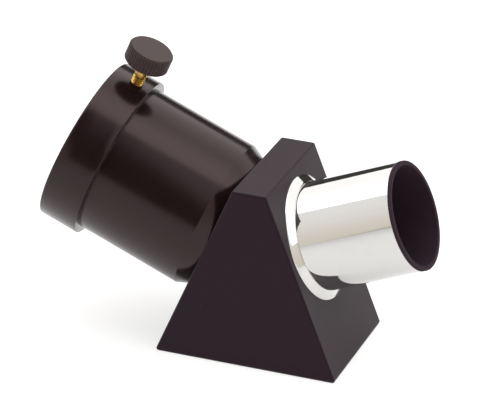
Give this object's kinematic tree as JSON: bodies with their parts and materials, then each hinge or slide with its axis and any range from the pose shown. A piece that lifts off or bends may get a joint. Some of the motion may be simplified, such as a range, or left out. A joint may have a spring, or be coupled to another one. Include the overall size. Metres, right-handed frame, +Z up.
{
  "type": "erecting prism diagonal",
  "caption": "45 degree erecting prism diagonal for a refractor telescope: wedge housing, chromed nosepiece, black eyepiece holder with a thumbscrew.",
  "frame": {"origin": "middle of the housing's flat base, on the surface that it stands on", "axes": "+Z up from the base, +X towards the nosepiece, both optical axes in the XZ plane"},
  "size_m": [0.0896, 0.0382, 0.0667],
  "materials": {
    "housing_black": "fine spark-eroded matt black",
    "plate_black": "matt black",
    "prism_glass": "polished optical glass",
    "cradle_black": "matt black moulding",
    "spring_steel": "rolled spring steel",
    "nose_chrome": "polished chrome on brass",
    "liner_black": "dead matt black",
    "holder_black": "satin black anodised",
    "screw_brass": "turned, bright",
    "knob_black": "satin black, straight ribs",
    "tip_nylon": "natural nylon",
    "screw_black": "blackened steel",
    "pad_cork": "fine cork sheet",
    "spacer_black": "black paper"
  },
  "bodies": {
    "diagonal": {"base_plate": "plate_black", "base_screw_1": "screw_black", "base_screw_2": "screw_black", "base_screw_3": "screw_black", "base_screw_4": "screw_black", "eyepiece_holder": "holder_black", "holder_spacer_back": "spacer_black", "holder_spacer_front": "spacer_black", "leaf_spring": "spring_steel", "nose_spacer_back": "spacer_black", "nose_spacer_front": "spacer_black", "nosepiece_barrel": "nose_chrome", "nosepiece_liner": "liner_black", "prism_cradle": "cradle_black", "prism_housing": "housing_black", "roof_prism": "prism_glass", "side_pad_back": "pad_cork", "side_pad_front": "pad_cork"},
    "clamp_tip": {"thumbscrew_tip": "tip_nylon"},
    "thumbscrew": {"thumbscrew_shank": "screw_brass", "thumbscrew_knob": "knob_black"}
  },
  "joints": [
    {"name": "thumbscrew_feed", "type": "slide", "parent": "diagonal", "child": "clamp_tip", "axis": [-0.3827, 0, -0.9239], "range_m": [-0.0015, 0.0025]},
    {"name": "thumbscrew_turn", "type": "hinge", "parent": "clamp_tip", "child": "thumbscrew", "pos_m": [-0.03049, 0, 0.06108], "axis": [-0.3827, 0, -0.9239], "range_deg": [-1080, 1800]}
  ],
  "couplings": [
    {"joint": "thumbscrew_turn", "follows": "thumbscrew_feed", "rad_per_m": 12566}
  ]
}
